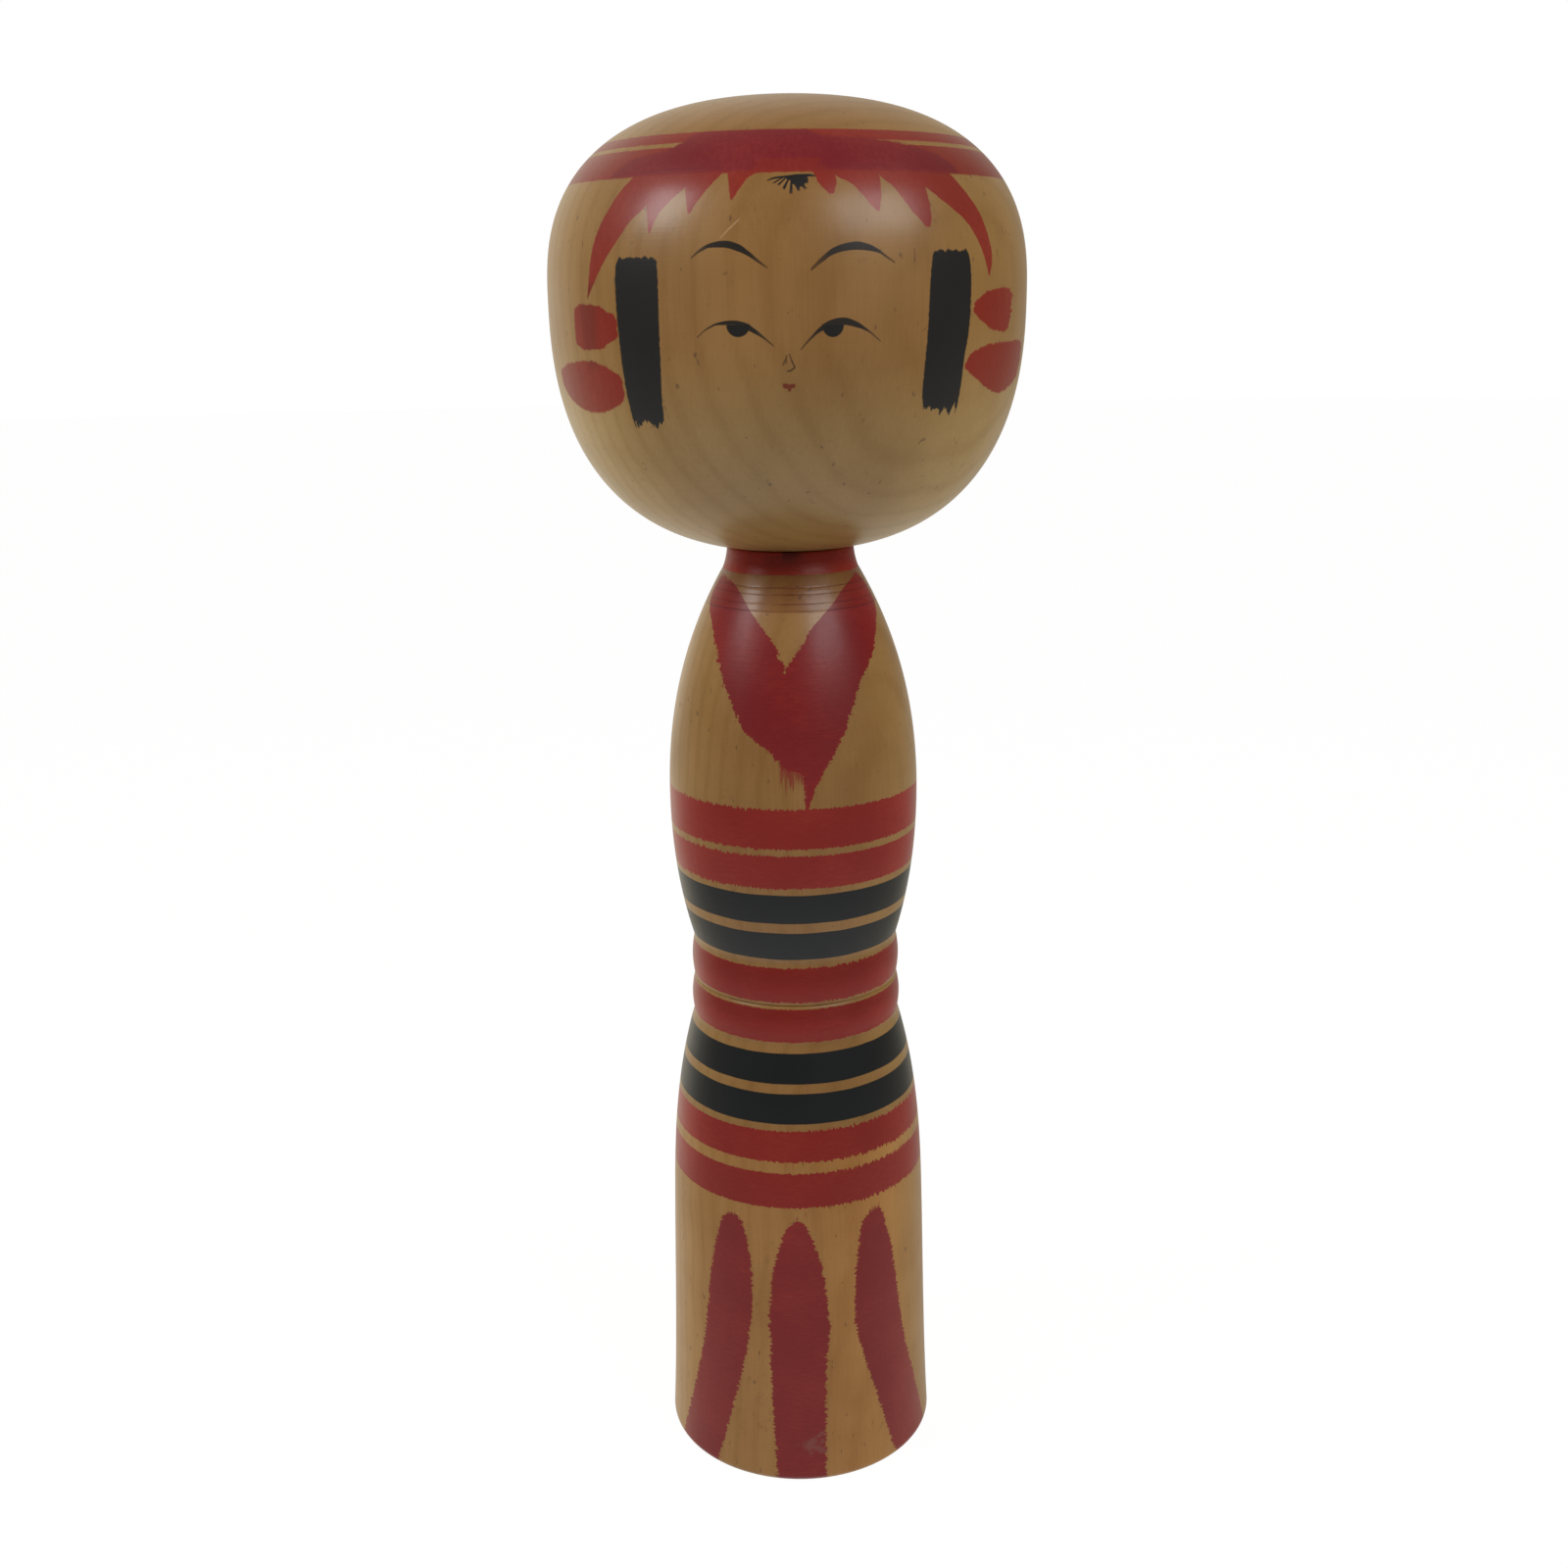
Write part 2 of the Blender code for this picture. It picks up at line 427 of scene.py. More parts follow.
# Hem strokes as (height, left edge, right edge).
HEM_STROKES = (
    ((66.0, -32.5, -29.0), (64.9, -35.0, -26.9), (62, -37.6, -24.6), (57, -40.3, -22.5),
     (48, -43.6, -21.1), (38, -45.7, -22.5), (30, -48.2, -24.9), (20, -53.2, -29.5),
     (8, -60.5, -35.5), (-4, -68, -42)),
    ((65.8, -1.8, 0.2), (64.6, -4.0, 2.7), (60, -8.4, 6.2), (53, -11.6, 9.9), (45, -13.2, 11.8),
     (38, -13.5, 12.6), (30, -13.2, 11.3), (18, -12.3, 10.4), (8, -11.4, 10.4), (-4, -10, 10.2)),
    ((65.8, 33.2, 38.6), (64.3, 30.6, 40.0), (61, 27.6, 41.6), (55, 26.1, 44.8), (46, 24.5, 48.2),
     (38, 25, 50.3), (30, 28.6, 53.4), (22, 33.2, 58.2), (10, 39.9, 66), (-4, 48.5, 76)),
)

# Tints on the body: dirt and wear, and painted light and shade.
SHOULDER_DIRT = (0.62, 0.40, 0.28)
LINE_DIRT = (0.45, 0.26, 0.17)
SKIRT_LIGHT = (1.56, 1.42, 1.22)
HAND_GREY = (0.62, 0.60, 0.62)
SIDE_DYE_LIGHT = (1.35, 1.05, 1.0)
CHEST_SHADE = (0.84, 0.84, 0.94)
SHOULDER_DYE = (0.80, 1.20, 1.50)
LINE_DYE = (0.55, 0.50, 0.55)
NECK_DYE = (1.10, 2.2, 1.9)
ROLL_SHADE = (0.62, 0.60, 0.60)
CHIN_NECK_DARK = (0.28, 0.30, 0.32)
# Colour of the dye where it was rubbed down to the wood.
RUBBED_DYE = (0.33, 0.13, 0.10)


def body_red(nodes, place):
    """Cover of the red dye on the body."""
    height = place.z
    turn = place.turn
    nick = place.grain(1.9, 0.45, 2.0, 0.7) - 0.5
    to_right = nodes.rise(place.side, -0.7, 0.7)
    cover = nodes.ring(height, NECK_RING_FOOT, 300.0, 0.18, nick * 0.5)
    for foot, top, left, right in RED_RINGS:
        rough = nick * (to_right * (right - left) + left)
        cover = nodes.most(cover, nodes.ring(height, foot, top, 0.10, rough * 0.55))

    down = place.grain(1.5, 0.10, 3.0, 0.7) - 0.5
    side = place.grain(0.6, 1.9, 2.0, 0.7) - 0.5
    calm = nodes.rise(199.0 - height, 0.0, 6.0) + 0.2
    left = nodes.patch(height, turn, LEFT_FLAP, 0.26, (side * 5.0 + down * 6.0) * calm, down * 7.0)
    fray = (side * 5.5 + down * 2.0) * calm * (nodes.rise(height, 158.0, 172.0) * 0.7 + 0.3)
    right = nodes.patch(height, turn, RIGHT_FLAP, 0.26, fray, down * 4.0)
    cover = nodes.most(cover, nodes.most(left, right))

    edge = side * 5.5
    bristle = place.grain(3.0, 0.16, 2.0, 0.7) - 0.5
    tip = down * 5.0 + bristle * 5.0
    for places in HEM_STROKES:
        cover = nodes.most(cover, nodes.patch(height, turn, places, 0.3, edge, tip, 1.6))
    return cover


def dry_tail(nodes, place):
    """Bristle streaks under the collar, where the brush ran dry."""
    streak = nodes.noise(nodes.vector(place.turn * 0.75, place.z * 0.11, 4.0), 1.0, 2.0, 0.7)
    sides = nodes.rise(nodes.least(place.turn + 6.5, 5.5 - place.turn), -0.6, 1.2)
    fade = nodes.rise(place.z, 160.5, 170.5)
    under_collar = nodes.rise(171.0 - place.z, 0.0, 1.0)
    return nodes.rise(streak + fade * 0.42, 0.60, 0.80) * sides * under_collar


def body_black(nodes, place):
    """Cover of the black ink on the body."""
    height = place.z + (nodes.noise(place.vector, 0.12, 1.0) - 0.5) * 0.3
    return nodes.strongest(nodes.ring(height, foot, top, 0.11) for foot, top in BLACK_RINGS)


def body_material(finish):
    """Painted wood of the body."""
    material = bpy.data.materials.new("painted_body")
    nodes = Nodes(material)
    place = Place(nodes)
    tone, height = bare_wood(nodes, place, finish, (-62.0, 58.0), 3.6)

    # Dye and dirt in the turned lines of the shoulder.
    shoulder = nodes.rise(place.z, 198.8, 199.6)
    front = nodes.rise(nodes.noise(place.vector, 0.10, 2.0), 0.30, 0.70)
    tone = nodes.tint(shoulder * (front * 0.4 + 0.45), tone, SHOULDER_DIRT)
    from_lines = [nodes.size(place.z - level) for level in SCRIBED_LINES]
    lines = nodes.strongest(1.0 - nodes.rise(far, 0.04, 0.22) for far in from_lines)
    worn = nodes.rise(nodes.noise(place.vector, 0.16, 2.0), 0.30, 0.62)
    tone = nodes.tint(lines * worn * 0.75, tone, LINE_DIRT)

    # Painted light: the lower skirt is lightened, more on the right and less at its far right edge, as if
    # lit from below.
    skirt = nodes.rise(place.z, 87.0, 84.0) * (nodes.rise(place.side, 0.0, 0.45) * 0.48 + 0.52)
    skirt = skirt * (1.0 - nodes.rise(place.side, 0.65, 0.95) * 0.5)
    tone = nodes.tint(skirt, tone, SKIRT_LIGHT)

    # Handling marks low on the front.
    marks = nodes.noise(place.vector, 0.16, 4.0, 0.7)
    low = nodes.rise(84.0 - place.z, 0.0, 40.0)
    in_front = nodes.rise(30.0 - nodes.size(place.turn + 12.0), 0.0, 18.0)
    grey = nodes.rise(marks, 0.56, 0.74) * low * in_front
    tone = nodes.tint(grey * 0.5, tone, HAND_GREY)

    streak = place.grain(0.5, 2.6, 2.0, 0.6)
    free = nodes.most(nodes.rise(place.z, 158.5, 162.0), nodes.rise(-1.0 * place.z, -69.0, -66.0))
    deep = free * nodes.rise(199.6 - place.z, -0.3, 0.3)
    dye = red_dye(nodes, place, finish, deep, streak)
    # Painted light: the dye is redder and lighter round the sides.
    dye = nodes.tint(nodes.rise(nodes.size(place.turn), 30.0, 70.0), dye, SIDE_DYE_LIGHT)
    # Painted shade: the dye from the chest up to the neck, under the head, is darkened.
    chest = nodes.rise(place.z, 160.0, 175.0) * nodes.rise(place.z, 206.6, 205.8)
    dye = nodes.tint(chest, dye, CHEST_SHADE)
    dye = nodes.tint(shoulder * chest * 0.8, dye, SHOULDER_DYE)
    dye = nodes.tint(lines * 0.6, dye, LINE_DYE)
    dye = nodes.tint(nodes.rise(place.z, 205.8, 206.6), dye, NECK_DYE)
    # Painted shade: the dye is darkened at the upper edge of each waist roll, into the crease above it.
    upper = nodes.ring(place.z, 119.0, 123.4, 1.6)
    lower = nodes.ring(place.z, 110.4, 114.0, 1.4)
    dye = nodes.tint(nodes.most(upper, lower) * 0.45, dye, ROLL_SHADE)
    tail = dry_tail(nodes, place)
    cover = nodes.most(body_red(nodes, place), tail * 0.75)
    tone = nodes.mix(cover * 0.975, tone, dye)

    # A rubbed patch near the foot of the middle stroke, and darker blotches at the top of the neck under
    # the chin.
    aside = (place.turn - 6.0) * 0.17
    up = (place.z - 9.4) * 0.34
    far = aside * aside + up * up
    blotch = nodes.noise(place.vector, 0.42, 2.0, 0.5) - 0.5
    rubbed = nodes.rise(1.3 - far + blotch * 7.0, 0.0, 1.6)
    tone = nodes.mix(rubbed * 0.5, tone, RUBBED_DYE)
    under_chin = nodes.rise(24.0 - nodes.size(place.turn + 5.0), 0.0, 16.0)
    chin_neck_dark = nodes.rise(place.z, 207.0, 210.6) * under_chin * nodes.rise(marks, 0.36, 0.56)
    tone = nodes.tint(chin_neck_dark * 0.85, tone, CHIN_NECK_DARK)

    black = body_black(nodes, place)
    tone = nodes.mix(black * 0.99, tone, black_ink(nodes, place, finish))
    gloss = (1.0 - cover * nodes.rise(place.z, 165.0, 185.0) * 0.72) * finish.gloss
    finish_surface(nodes, place, tone, height - black * 0.1, black, 0.09, gloss)
    return material


# ---- Painting on the head -------------------------------------------------------------------

# Two headband rings as (lower, upper) latitude in degrees above the widest place.
HEADBAND = ((23.95, 31.5), (32.8, 36.2))
# How high the fringe strokes reach into the headband, as (turn, latitude).
FRINGE_START = (
    (-50, 22), (-42, 29.2), (-33, 30.8), (-28, 33.4), (-24, 36), (-12, 37), (2, 37), (10, 34),
    (24, 33.2), (34, 31.6), (42, 29), (48, 23),
)

# Fringe as (latitude, left edge, right edge).
FRINGE = (
    ((26.0, -36, -20), (21.1, -34, -23.6), (17.7, -33.0, -27.5), (14.8, -32.2, -29.8),
     (11.8, -31.5, -31.1)),
    ((26.0, -25, -13.2), (24.1, -24.3, -14.9), (22, -23.7, -16.8), (18.5, -22.9, -19.6),
     (15.5, -22.1, -21.6)),
    ((26.0, -13.9, -2.8), (24.1, -13.7, -6.6), (22.8, -13.5, -8.8), (20.6, -13.0, -10.5),
     (18.0, -12.5, -12.1)),
    ((26.0, 4.6, 11.2), (23.1, 6.3, 11.1), (21.2, 7.2, 11.0), (20.25, 8.05, 10.75), (19.0, 9.2, 10.1)),
    ((26.0, 9, 22), (23.0, 11.2, 21.6), (21.5, 14.2, 21.5), (18.3, 17.2, 21.0), (16.2, 18.8, 20.4),
     (15.4, 19.7, 20.1)),
    ((26.0, 20, 34), (22.9, 22, 33.2), (20.5, 24.7, 33.2), (16.4, 27.6, 33.3), (14.0, 29.7, 33.1),
     (12.3, 31.5, 32.6)),
)
FORELOCKS = (
    ((26.0, -37.6, -30), (20.4, -42.7, -31.6), (17.7, -44.3, -33), (14.4, -46.4, -36.9),
     (10.5, -48.1, -40.4), (7.0, -49.1, -43.7), (3.7, -49.6, -46.5), (-1.2, -50.7, -50.4)),
    ((26.0, 31, 41.2), (22.0, 32.4, 44.4), (19.0, 35.8, 46.8), (16.3, 39.9, 48.8), (13.4, 43.9, 50.1),
     (10.0, 46.7, 51.4), (6.7, 48.7, 52.0), (2.6, 50.5, 50.9)),
)
SIDE_LOCKS = (
    ((6.9, -40.2, -29.2), (1.5, -40.7, -28.9), (-11.5, -40.3, -29.1), (-21.0, -40.1, -29.9),
     (-27.4, -39.8, -30.6)),
    ((7.5, 32.7, 43.3), (0.6, 31.9, 44.1), (-9.0, 31.5, 43.7), (-18.0, 31.2, 42.8), (-25.4, 32.3, 42.9)),
)
# Ribbon loops beside the locks as (turn, lower edge, upper edge), and how ragged their ends are.
RIBBONS = (
    ((-40.6, -9.3, -5.0), (-44.5, -11, -3.7), (-48, -12, -2.5), (-53, -11.9, -2.3), (-56.8, -11, -2.9)),
    ((-40.8, -22.2, -17.8), (-46, -24.4, -15.5), (-53, -25.4, -14.3), (-61, -24.4, -14.8),
     (-70, -20.2, -16.4)),
    ((44.8, -5, -3.7), (48, -6.9, -1.6), (52, -8.6, -0.4), (58, -9.3, 0.1), (62.3, -6.0, 0.0)),
    ((43.2, -16.8, -15.2), (47, -18.6, -13.1), (53, -21.1, -11.8), (60, -22.4, -11.5),
     (68, -21, -11.2), (74, -18.6, -12)),
)
RIBBON_RAGGED = (1.2, 1.2, 9.0, 2.5)
# Where the upper left ribbon was brushed over twice.
TWICE_BRUSHED = ((2.0, -54.8, -47.2), (-16.0, -52.4, -48.6))
# The tuft's hairs fan out from one root, which is (turn, latitude). Each hair's number and length
# go by its spread in radians.
TUFT_ROOT = (1.1, 23.9)
TUFT_HAIRS = (
    (-1.5, -1.0), (-1.24, 0.0), (-1.0, 1.0), (-0.785, 2.0), (-0.437, 3.0), (-0.065, 4.0),
    (0.305, 5.0), (0.62, 6.0), (0.95, 7.0), (1.4, 8.0),
)
TUFT_REACH = (
    (-1.5, 5.0), (-1.24, 5.5), (-1.0, 4.6), (-0.785, 4.15), (-0.437, 4.25), (-0.065, 4.9),
    (0.305, 4.45), (0.62, 4.8), (0.80, 4.2), (1.10, 3.9), (1.21, 3.5), (1.34, 4.9), (1.5, 5.3),
)
# The straight top of the tuft as (turn, latitude).
TUFT_CUT = (
    (-5.0, 22.0), (-4.0, 22.5), (-3.2, 22.8), (-1.8, 23.0), (0.7, 23.25), (1.8, 23.4), (4.8, 23.5),
    (6.4, 23.2),
)
# Brows and upper lids as (turn, lower edge, upper edge). Their ink thins towards both ends.
BROWS = (
    ((-20.9, 6.2, 6.6), (-18.4, 7.7, 8.5), (-16.3, 8.35, 9.35), (-13.6, 8.3, 9.7), (-10.8, 7.55, 9.1),
     (-8.4, 6.5, 7.6), (-6.6, 5.3, 6.1), (-4.3, 3.9, 4.2)),
    ((4.7, 3.3, 4.0), (7.4, 5.3, 6.5), (10.0, 6.8, 8.2), (12.8, 7.4, 9.0), (14.6, 7.5, 9.2),
     (16.5, 7.4, 8.9), (19.2, 6.95, 7.8), (20.8, 6.1, 6.7), (23.1, 4.8, 5.2)),
)
LIDS = (
    ((-20.0, -9.8, -9.5), (-17.3, -7.95, -7.55), (-14.8, -7.2, -6.6), (-12.0, -7.2, -6.3),
     (-9.5, -8.0, -6.7), (-7.4, -9.0, -7.9), (-5.6, -10.0, -9.35), (-3.3, -11.7, -11.35)),
    ((2.4, -12.5, -12.1), (4.7, -10.3, -9.6), (6.7, -8.8, -7.7), (9.0, -7.9, -6.4), (11.4, -7.5, -6.0),
     (13.9, -7.9, -6.6), (16.2, -8.6, -7.9), (19.9, -11.0, -10.7)),
)
# Pupils as (middle, top, half width, drop).
PUPILS = ((-10.8, -7.2, 2.6, 2.5), (9.3, -7.4, 2.4, 2.55))
NOSE = (
    ((-13.4, -0.66, -0.36), (-14.5, -1.1, -0.78), (-15.4, -1.6, -1.3)),
    ((-13.1, -0.15, 0.10), (-14.1, 0.17, 0.5), (-15.0, 0.5, 0.92), (-15.9, 0.86, 1.3), (-16.3, 0.5, 0.9)),
)
NOSE_TIP = ((-0.55, -16.75, -16.45), (0.1, -16.75, -16.3), (0.6, -16.5, -16.0), (1.1, -16.05, -15.6))
# The mouth: two small lobes as (turn, lower edge, upper edge), and a drop under them as
# (latitude, left edge, right edge).
LIPS = (
    (-1.5, -19.8, -19.05), (-0.8, -20.1, -19.05), (-0.1, -20.1, -19.25), (0.5, -20.05, -19.15),
    (1.2, -19.85, -19.2),
)
LIP_DROP = ((-19.4, -0.8, 0.7), (-20.1, -0.5, 0.4), (-20.7, -0.25, 0.15))
# A short scratch over the left brow.
SCRATCH = ((-14.4, 10.2, 10.4), (-12.4, 12.0, 12.4), (-10.4, 13.8, 14.1))

# Tints on the head.
CHIN_LIGHT = (0.95, 1.09, 1.13)
CHEEK_LIGHT = (1.24, 1.28, 1.54)
BAND_SHEEN = (0.96, 1.1, 1.6)
OVERLAID_DYE = (0.74, 0.78, 0.85)
TWICE_DYE = (0.72, 0.55, 0.60)
# Colours of the fine brushwork and of fresh wood in the scratch.
THIN_INK = (0.030, 0.013, 0.001)
NOSE_BROWN = (0.055, 0.022, 0.002)
LIP_RED = (0.19, 0.020, 0.003)
FRESH_WOOD = (0.66, 0.42, 0.20)


def head_red(nodes, turn, rise, place):
    """Cover of the red dye on the head, and where the fringe lies over the headband."""
    fine = nodes.noise(place.vector, 0.8, 2.0, 0.6) - 0.5
    aside = (1.0 - nodes.maths("COSINE", turn * math.radians(1.0))) * 1.75
    level = rise - aside
    cover = nodes.strongest(nodes.ring(level, foot, top, 0.2, fine * 0.45) for foot, top in HEADBAND)
    start = nodes.curve(turn, FRINGE_START) + fine * 1.2
    top = HEADBAND[1][1] + aside
    over = nodes.rise(nodes.least(nodes.least(start, top) - rise, rise - 24.6), -0.7, 0.7)
    over = over * nodes.rise(nodes.least(turn + 48.0, 47.0 - turn), -1.0, 1.0)
    cover = nodes.most(cover, over)
    # Bright dye of the band alone, where no hair lies over it.
    bare = nodes.rise(7.5 - nodes.size(turn - 0.5) + fine * 6.0, -1.5, 1.5)
    bare = bare * nodes.rise(27.4 - rise + fine, -0.4, 0.4)
    over = over * (1.0 - bare * 0.7)
    for places in FRINGE + FORELOCKS:
        cover = nodes.most(cover, nodes.patch(rise, turn, places, 0.2, fine * 0.6))
    for places, ragged in zip(RIBBONS, RIBBON_RAGGED):
        ribbon = nodes.patch(turn, rise, places, 0.28, fine * 1.3, fine * ragged, 1.2)
        cover = nodes.most(cover, ribbon)
    return cover, over


def mouth_red(nodes, turn, rise):
    """Two small lobes with a drop under them."""
    return nodes.most(nodes.patch(turn, rise, LIPS, 0.18), nodes.patch(rise, turn, LIP_DROP, 0.16))


def tuft_black(nodes, turn, rise):
    """A small fan of fine hairs under the headband."""
    aside = (turn - TUFT_ROOT[0]) * 0.92
    below = TUFT_ROOT[1] - rise
    far = (aside * aside + below * below) ** 0.5
    spread = nodes.maths("ARCTAN2", aside, below)
    hair = nodes.curve(spread, TUFT_HAIRS)
    comb = nodes.maths("COSINE", hair * (2.0 * math.pi)) * 0.5 + 0.5
    thick = nodes.rise(1.8 + nodes.rise(spread, -0.25, 0.45) * 1.9 - far, -0.5, 0.6)
    hairs = nodes.rise(comb + thick * 1.4 - far * 0.04, 0.34, 0.62)
    reach = nodes.rise(nodes.curve(spread, TUFT_REACH) - far, -0.2, 0.3)
    under = nodes.curve(turn, TUFT_CUT) - rise
    root = nodes.rise(0.5 - under, -0.15, 0.15)
    root = root * nodes.rise(nodes.least(turn + 4.6, 6.4 - turn), -0.1, 0.3)
    cover = nodes.most(hairs * reach, root) * nodes.rise(under, -0.15, 0.15)
    return cover * (1.0 - nodes.rise(far, 3.4, 5.6) * 0.3)


def head_black(nodes, turn, rise, place):
    """Cover of the black ink on the head: tuft, side locks, brows, lids and pupils."""
    fine = nodes.noise(place.vector, 1.1, 2.0, 0.6) - 0.5
    bristle = place.grain(0.62, 0.10, 3.0, 0.62) - 0.5
    cover = tuft_black(nodes, turn, rise)
    dry = bristle * (nodes.rise(-1.0 * rise, 0.0, 20.0) * 7.0 + 2.6)
    for places in SIDE_LOCKS:
        cover = nodes.most(cover, nodes.patch(rise, turn, places, 0.2, fine * 0.5, dry, 1.1))
    for places in BROWS + LIDS:
        middle = (places[0][0] + places[-1][0]) / 2
        half = (places[-1][0] - places[0][0]) / 2
        thin = nodes.rise(nodes.size(turn - middle) / half, 0.45, 1.0) * 0.28
        cover = nodes.most(cover, nodes.patch(turn, rise, places, 0.12) * (0.97 - thin))
    for centre, top, half, drop in PUPILS:
        aside = (turn - centre) / half
        below = (top - rise) / drop
        disc = nodes.rise(1.0 - aside * aside - below * below, -0.08, 0.14)
        cover = nodes.most(cover, disc * nodes.rise(top - rise, -0.4, 0.1))
    return cover


def nose_brown(nodes, turn, rise):
    """Cover of the thin brown ink of the nose."""
    sides = nodes.strongest(nodes.patch(rise, turn, places, 0.12) for places in NOSE)
    return nodes.most(nodes.patch(turn, rise, NOSE_TIP, 0.12), sides)


def head_material(finish, widest):
    """Painted wood of the head. widest is the height of its widest place, where latitude is 0."""
    material = bpy.data.materials.new("painted_head")
    nodes = Nodes(material)
    place = Place(nodes)
    rise = nodes.maths("ARCTAN2", place.z - widest / MM, place.reach) * math.degrees(1.0)
    turn = place.turn
    tone, height = bare_wood(nodes, place, finish, (-70.0, 82.0), 4.3)
    # Painted light from below: the lower head is tinted paler and cooler, and the cheeks, more on the
    # left, lighter still.
    low = nodes.rise(-8.0 - rise, 0.0, 24.0)
    tone = nodes.tint(low, tone, CHIN_LIGHT)
    cheek = low * nodes.rise(nodes.size(turn - 10.0), 16.0, 54.0)
    tone = nodes.tint(cheek, tone, CHEEK_LIGHT)

    cover, over = head_red(nodes, turn, rise, place)
    streak = place.grain(1.4, 0.5, 2.0, 0.6)
    dye = red_dye(nodes, place, finish, over, streak)
    # Painted sheen: the dye on the upper head is tinted bluer and paler.
    dye = nodes.tint(nodes.rise(rise, 22.0, 25.0), dye, BAND_SHEEN)
    dye = nodes.tint(over * 0.5, dye, OVERLAID_DYE)
    dye = nodes.tint(nodes.patch(rise, turn, TWICE_BRUSHED, 1.3) * 0.8, dye, TWICE_DYE)
    tone = nodes.mix(cover * (over * 0.05 + 0.92), tone, dye)
    tone = nodes.mix(mouth_red(nodes, turn, rise) * 0.92, tone, LIP_RED)
    black = head_black(nodes, turn, rise, place)
    ink = nodes.mix(nodes.rise(black, 0.55, 0.96), THIN_INK, black_ink(nodes, place, finish))
    tone = nodes.mix(black * 0.975, tone, ink)
    tone = nodes.mix(nose_brown(nodes, turn, rise) * 0.80, tone, NOSE_BROWN)
    scratch = nodes.patch(turn, rise, SCRATCH, 0.16)
    tone = nodes.mix(scratch * 0.6, tone, FRESH_WOOD)
    gloss = (1.0 - cover * nodes.rise(8.0 - rise, 0.0, 6.0) * 0.5) * finish.gloss
    finish_surface(nodes, place, tone, height - scratch * 0.8, black, 0.07, gloss)
    return material


# ---- Turned shapes ---------------------------------------------------------------------------

# How the body's radius changes with height at each place where its curves meet.
FOOT_SLOPE = -0.055
HIP_SLOPE = -0.030
WAIST_SLOPE = -0.300
SASH_SLOPE = 0.300
SHOULDER_SLOPE = -0.580
NECK_FOOT_SLOPE = -0.450
NECK_TOP_SLOPE = -0.100

SIDE_STEPS = 230                       # levels up the side of the body
CURVE_STEPS = 110                      # levels on the lower and on the upper half of the head
BASE_HOLLOW = 0.25 * MM                # how far the middle of the base stands clear of the table
HOLLOW_SHARE = 0.6                     # of the base's radius, where the hollow starts to come down
REST_SHARE = 0.85                      # of the base's radius, where the base rests on the table
CUT_WIDTH = 0.12 * MM                  # half the width of a scribed line
CUT_DEPTH = 0.03 * MM
NECK_EDGE = 0.35 * MM                  # rounding of the edge of the neck
BORE_MOUTH = 0.8 * MM
TENON_CHAMFER = 0.8 * MM
DRILL_POINT = math.radians(31.0)       # slope of the bottom of the bore
SHARP_EDGE = math.radians(40.0)


def hermite(start, end, start_slope, end_slope, height):
    """Radius at a height on a smooth stretch between two (radius, height) places."""
    rise = end[1] - start[1]
    t = (height - start[1]) / rise
    return (start[0] * (2 * t**3 - 3 * t**2 + 1) + end[0] * (3 * t**2 - 2 * t**3)
            + rise * start_slope * (t**3 - 2 * t**2 + t) + rise * end_slope * (t**3 - t**2))


def side_radius(size, height):
    """Radius of the body's side at a height."""
    roll_top = size.waist_foot + size.roll_height
    sash_foot = roll_top + size.groove_width
    sash_top = sash_foot + size.sash_height
    groove_radius = (size.waist_radius + size.sash_radius) / 2
    neck_foot = size.height - size.neck_height
    if height < size.hip_height:
        foot = (size.base_radius, size.foot_round)
        return hermite(foot, (size.hip_radius, size.hip_height), FOOT_SLOPE, HIP_SLOPE, height)
    if height < size.waist_foot:
        hip = (size.hip_radius, size.hip_height)
        return hermite(hip, (size.waist_radius, size.waist_foot), HIP_SLOPE, WAIST_SLOPE, height)
    if height < roll_top:
        t = (height - size.waist_foot) / size.roll_height
        bulge = size.roll_bulge * math.sin(math.pi * t)
        return size.waist_radius + (groove_radius - size.waist_radius) * t + bulge
    if height < sash_foot:
        t = (height - roll_top) / size.groove_width
        return groove_radius - size.groove_depth * (1 - abs(2 * t - 1))
    if height < sash_top:
        t = (height - sash_foot) / size.sash_height
        bulge = size.roll_bulge * math.sin(math.pi * t)
        return groove_radius + (size.sash_radius - groove_radius) * t + bulge
    if height < size.bust_height:
        waist = (size.sash_radius, sash_top)
        return hermite(waist, (size.bust_radius, size.bust_height), SASH_SLOPE, 0.0, height)
    if height < neck_foot:
        bust = (size.bust_radius, size.bust_height)
        return hermite(bust, (size.neck_foot_radius, neck_foot), 0.0, SHOULDER_SLOPE, height)
    neck = (size.neck_foot_radius, neck_foot)
    return hermite(neck, (size.neck_radius, size.height), NECK_FOOT_SLOPE, NECK_TOP_SLOPE, height)


